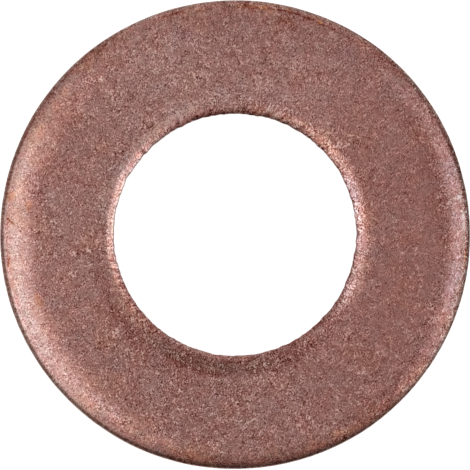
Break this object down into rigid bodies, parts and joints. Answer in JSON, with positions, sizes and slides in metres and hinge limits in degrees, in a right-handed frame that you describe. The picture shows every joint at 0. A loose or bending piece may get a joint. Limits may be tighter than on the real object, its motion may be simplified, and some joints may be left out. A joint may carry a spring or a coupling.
{
  "type": "crush washer",
  "caption": "Flat round copper sealing washer with a plain bore and drawn-down edges, crushed between a bolt head and a port face to seal a fluid joint.",
  "frame": {"origin": "centre of the lower face, on the washer's axis", "axes": "+Z along the washer's axis, out of the face whose edges are drawn down; X and Y along two diameters"},
  "size_m": [0.0198, 0.0198, 0.0015],
  "materials": {
    "annealed_copper": "satin"
  },
  "bodies": {
    "root": {"crush_washer": "annealed_copper"}
  },
  "joints": []
}
